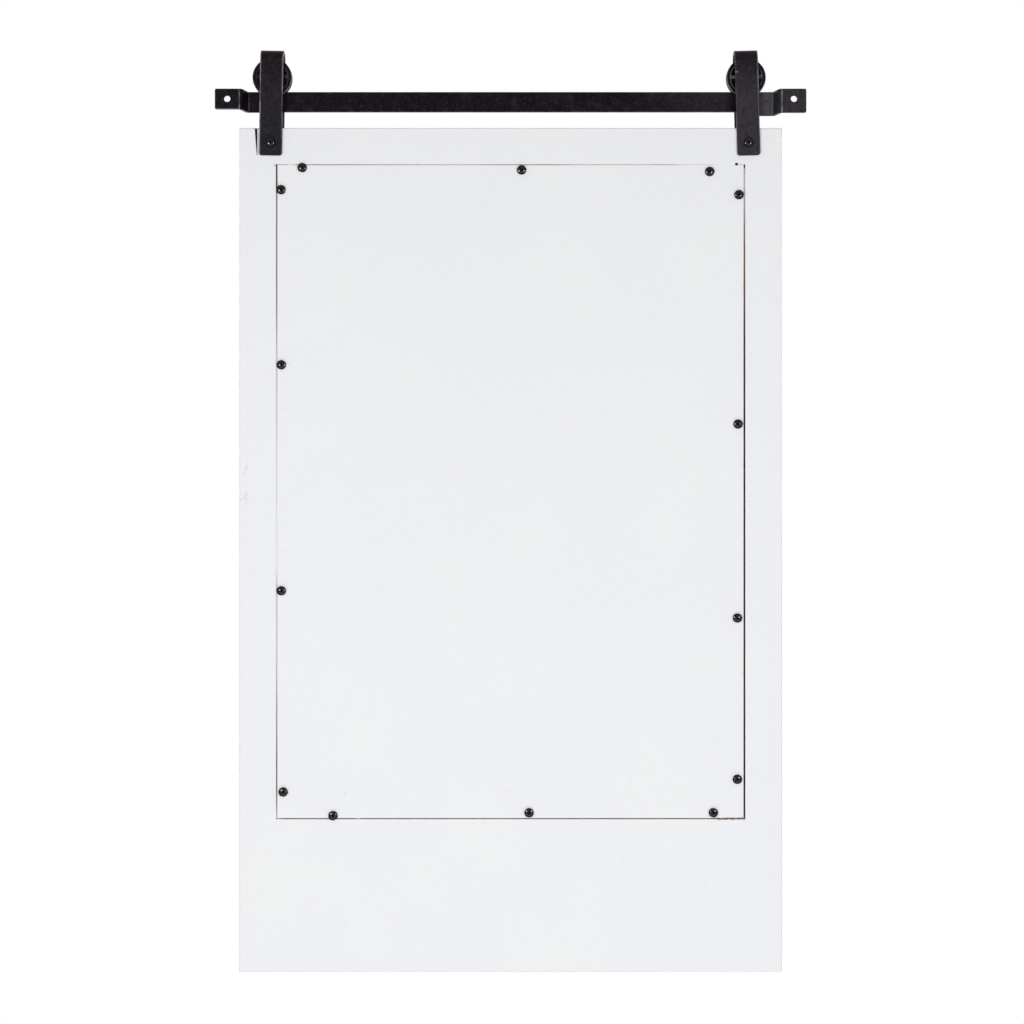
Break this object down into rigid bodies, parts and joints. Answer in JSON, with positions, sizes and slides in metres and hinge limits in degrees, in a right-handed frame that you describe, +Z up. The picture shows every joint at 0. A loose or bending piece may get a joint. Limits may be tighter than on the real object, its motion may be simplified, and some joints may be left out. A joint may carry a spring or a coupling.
{
  "type": "wall mirror with hooks",
  "caption": "White framed wall mirror with coat hooks on a deep lower board, hung by iron straps and grooved rollers from a flat wall rail like a barn door.",
  "frame": {"origin": "midway between the two wall-screw holes, on the wall's face", "axes": "+X to the right and +Z up for someone facing the mirror, +Y into the wall, so the glass faces -Y"},
  "size_m": [0.51, 0.0786, 0.7991],
  "materials": {
    "white_paint": "satin white paint",
    "black_iron": "satin black coat, lighter along worn edges",
    "black_screw": "glossy black",
    "zinc_steel": "zinc plated",
    "silvered_glass": "silvered float glass",
    "grey_card": "plain grey card",
    "bare_wood": "bare beech"
  },
  "bodies": {
    "wall_rail": {"rail": "black_iron"},
    "mirror": {"left_stile": "white_paint", "right_stile": "white_paint", "top_rail": "white_paint", "hook_board": "white_paint", "back_panel": "white_paint", "left_hanger_strap": "black_iron", "right_hanger_strap": "black_iron", "left_roller_axle": "black_iron", "right_roller_axle": "black_iron", "left_hook": "black_iron", "middle_hook": "black_iron", "right_hook": "black_iron", "panel_screws": "black_screw", "hanger_back_screws": "black_screw", "hanger_front_screws": "black_screw", "hook_screws": "black_screw", "left_roller_spacers": "zinc_steel", "right_roller_spacers": "zinc_steel", "mirror_glass": "silvered_glass", "backing_card": "grey_card", "frame_dowels": "bare_wood"},
    "left_roller": {"left_roller": "black_iron"},
    "right_roller": {"right_roller": "black_iron"}
  },
  "joints": [
    {"name": "mirror_slide", "type": "slide", "parent": "wall_rail", "child": "mirror", "axis": [1, 0, 0], "range_m": [-0.0115, 0.009]},
    {"name": "left_roller_spin", "type": "hinge", "parent": "mirror", "child": "left_roller", "pos_m": [-0.2044, -0.021, 0.0208], "axis": [0, 1, 0], "range_deg": [-56, 44]},
    {"name": "right_roller_spin", "type": "hinge", "parent": "mirror", "child": "right_roller", "pos_m": [0.2069, -0.021, 0.0208], "axis": [0, 1, 0], "range_deg": [-56, 44]}
  ],
  "couplings": [
    {"joint": "left_roller_spin", "follows": "mirror_slide", "rad_per_m": 84.388},
    {"joint": "right_roller_spin", "follows": "mirror_slide", "rad_per_m": 84.388}
  ]
}
